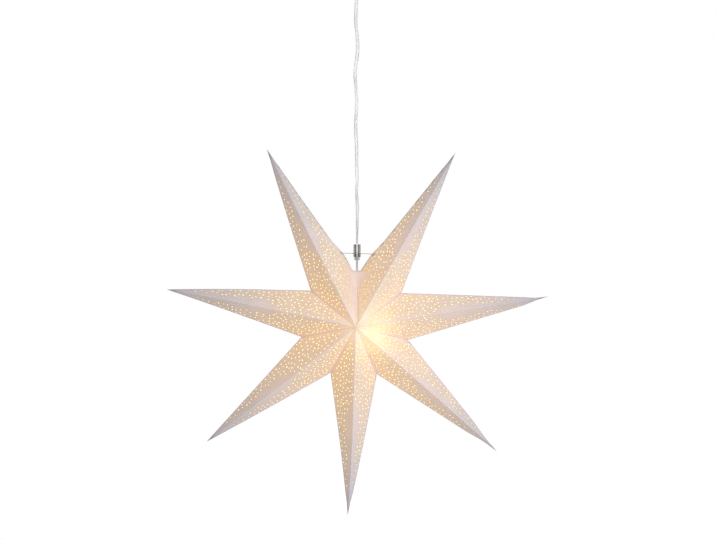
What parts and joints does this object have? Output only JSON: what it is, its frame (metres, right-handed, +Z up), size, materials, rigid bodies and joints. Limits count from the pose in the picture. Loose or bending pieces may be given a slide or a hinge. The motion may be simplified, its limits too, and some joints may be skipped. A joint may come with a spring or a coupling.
{
  "type": "folded paper star pendant light",
  "caption": "Hanging folded paper star shade with a crossbar, cord grip, flat clear cord, small lampholder with bulb, and a ceiling fitting.",
  "frame": {"origin": "where the cord's axis meets the ceiling, on the strap's top face", "axes": "+Z up, -Y is the front of the star, +X to the right seen from the front"},
  "size_m": [0.6907, 0.15, 0.9998],
  "materials": {
    "paper": "matt",
    "steel": "drawn wire",
    "dark_steel": "dark satin",
    "chrome": "bright",
    "white_metal": "satin white",
    "white_plastic": "satin",
    "holder_plastic": "semi gloss",
    "clear_cord": "clear PVC",
    "clear_plastic": "clear",
    "brass": "plain",
    "aluminium": "rolled",
    "dark_insulator": "gloss",
    "bulb_glass": "warm frosted"
  },
  "bodies": {
    "fixed_fitting": {"ceiling_strap": "steel", "canopy": "white_metal", "canopy_screws": "steel", "terminal_block": "white_plastic", "terminal_screws": "brass", "gland_body": "white_plastic", "gland_nut": "white_plastic", "gland_screw": "white_plastic", "cord_upper": "clear_cord", "cord_lower": "clear_cord", "grip_barrel": "chrome", "grip_collar": "dark_steel", "grip_bush": "clear_plastic", "holder_cap": "holder_plastic", "holder_sleeve": "holder_plastic", "holder_core": "holder_plastic", "holder_shell": "brass", "holder_contact": "brass"},
    "crossbar": {"crossbar": "steel"},
    "star": {"arm_1": "paper", "arm_2": "paper", "arm_3": "paper", "arm_4": "paper", "arm_5": "paper", "arm_6": "paper", "arm_7": "paper", "front_closure_tab": "paper", "rear_closure_tab": "paper"},
    "bulb": {"bulb_glass": "bulb_glass", "bulb_screw_cap": "aluminium", "bulb_insulator": "dark_insulator", "bulb_tip_contact": "brass", "bulb_stem": "bulb_glass"}
  },
  "joints": [
    {"name": "bar_swivel", "type": "hinge", "parent": "fixed_fitting", "child": "crossbar", "pos_m": [0, 0, -0.523], "axis": [0, 0, 1], "continuous": true},
    {"name": "star_tilt", "type": "hinge", "parent": "crossbar", "child": "star", "pos_m": [0, 0, -0.523], "axis": [0.9996, 0, -0.0279], "range_deg": [-5, 5]},
    {"name": "bulb_screw", "type": "hinge", "parent": "fixed_fitting", "child": "bulb", "pos_m": [0, 0, -0.65], "axis": [0, 0, 1], "range_deg": [-2160, 0]}
  ]
}
